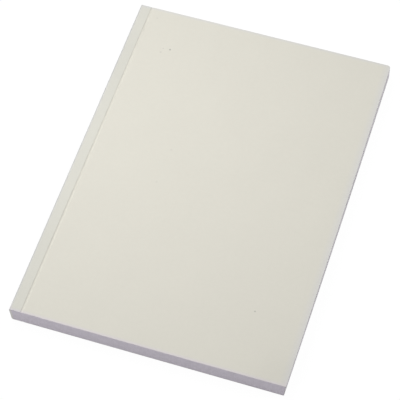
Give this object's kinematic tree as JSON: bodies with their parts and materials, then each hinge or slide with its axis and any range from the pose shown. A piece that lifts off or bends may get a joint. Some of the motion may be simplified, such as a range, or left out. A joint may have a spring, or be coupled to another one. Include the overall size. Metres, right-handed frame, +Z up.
{
  "type": "softcover notebook",
  "caption": "Plain perfect-bound softcover notebook: a glued block of blank leaves in one scored card wrap, with covers that open.",
  "frame": {"origin": "under the middle of the closed book, on the plane that its back cover lies on", "axes": "+X from the spine to the fore edge, +Y from the tail to the head, +Z up through the closed book from its back cover to its front cover"},
  "size_m": [0.1484, 0.21, 0.0097],
  "materials": {
    "leaf_paper": "uncoated white paper with a faint lavender cast, cut edges",
    "binding_glue": "set hot-melt adhesive, cloudy and slightly glossy",
    "cover_card": "uncoated off-white card with a fine fibre"
  },
  "bodies": {
    "book_block": {"page_block": "leaf_paper", "spine_glue": "binding_glue", "cover_spine": "cover_card"},
    "front_cover": {"front_cover": "cover_card"},
    "back_cover": {"back_cover": "cover_card"}
  },
  "joints": [
    {"name": "front_cover_hinge", "type": "hinge", "parent": "book_block", "child": "front_cover", "pos_m": [-0.06745, 0, 0.00972], "axis": [0, -1, 0], "range_deg": [0, 175]},
    {"name": "back_cover_hinge", "type": "hinge", "parent": "book_block", "child": "back_cover", "pos_m": [-0.06745, 0, 0], "axis": [0, 1, 0], "range_deg": [0, 175]}
  ]
}
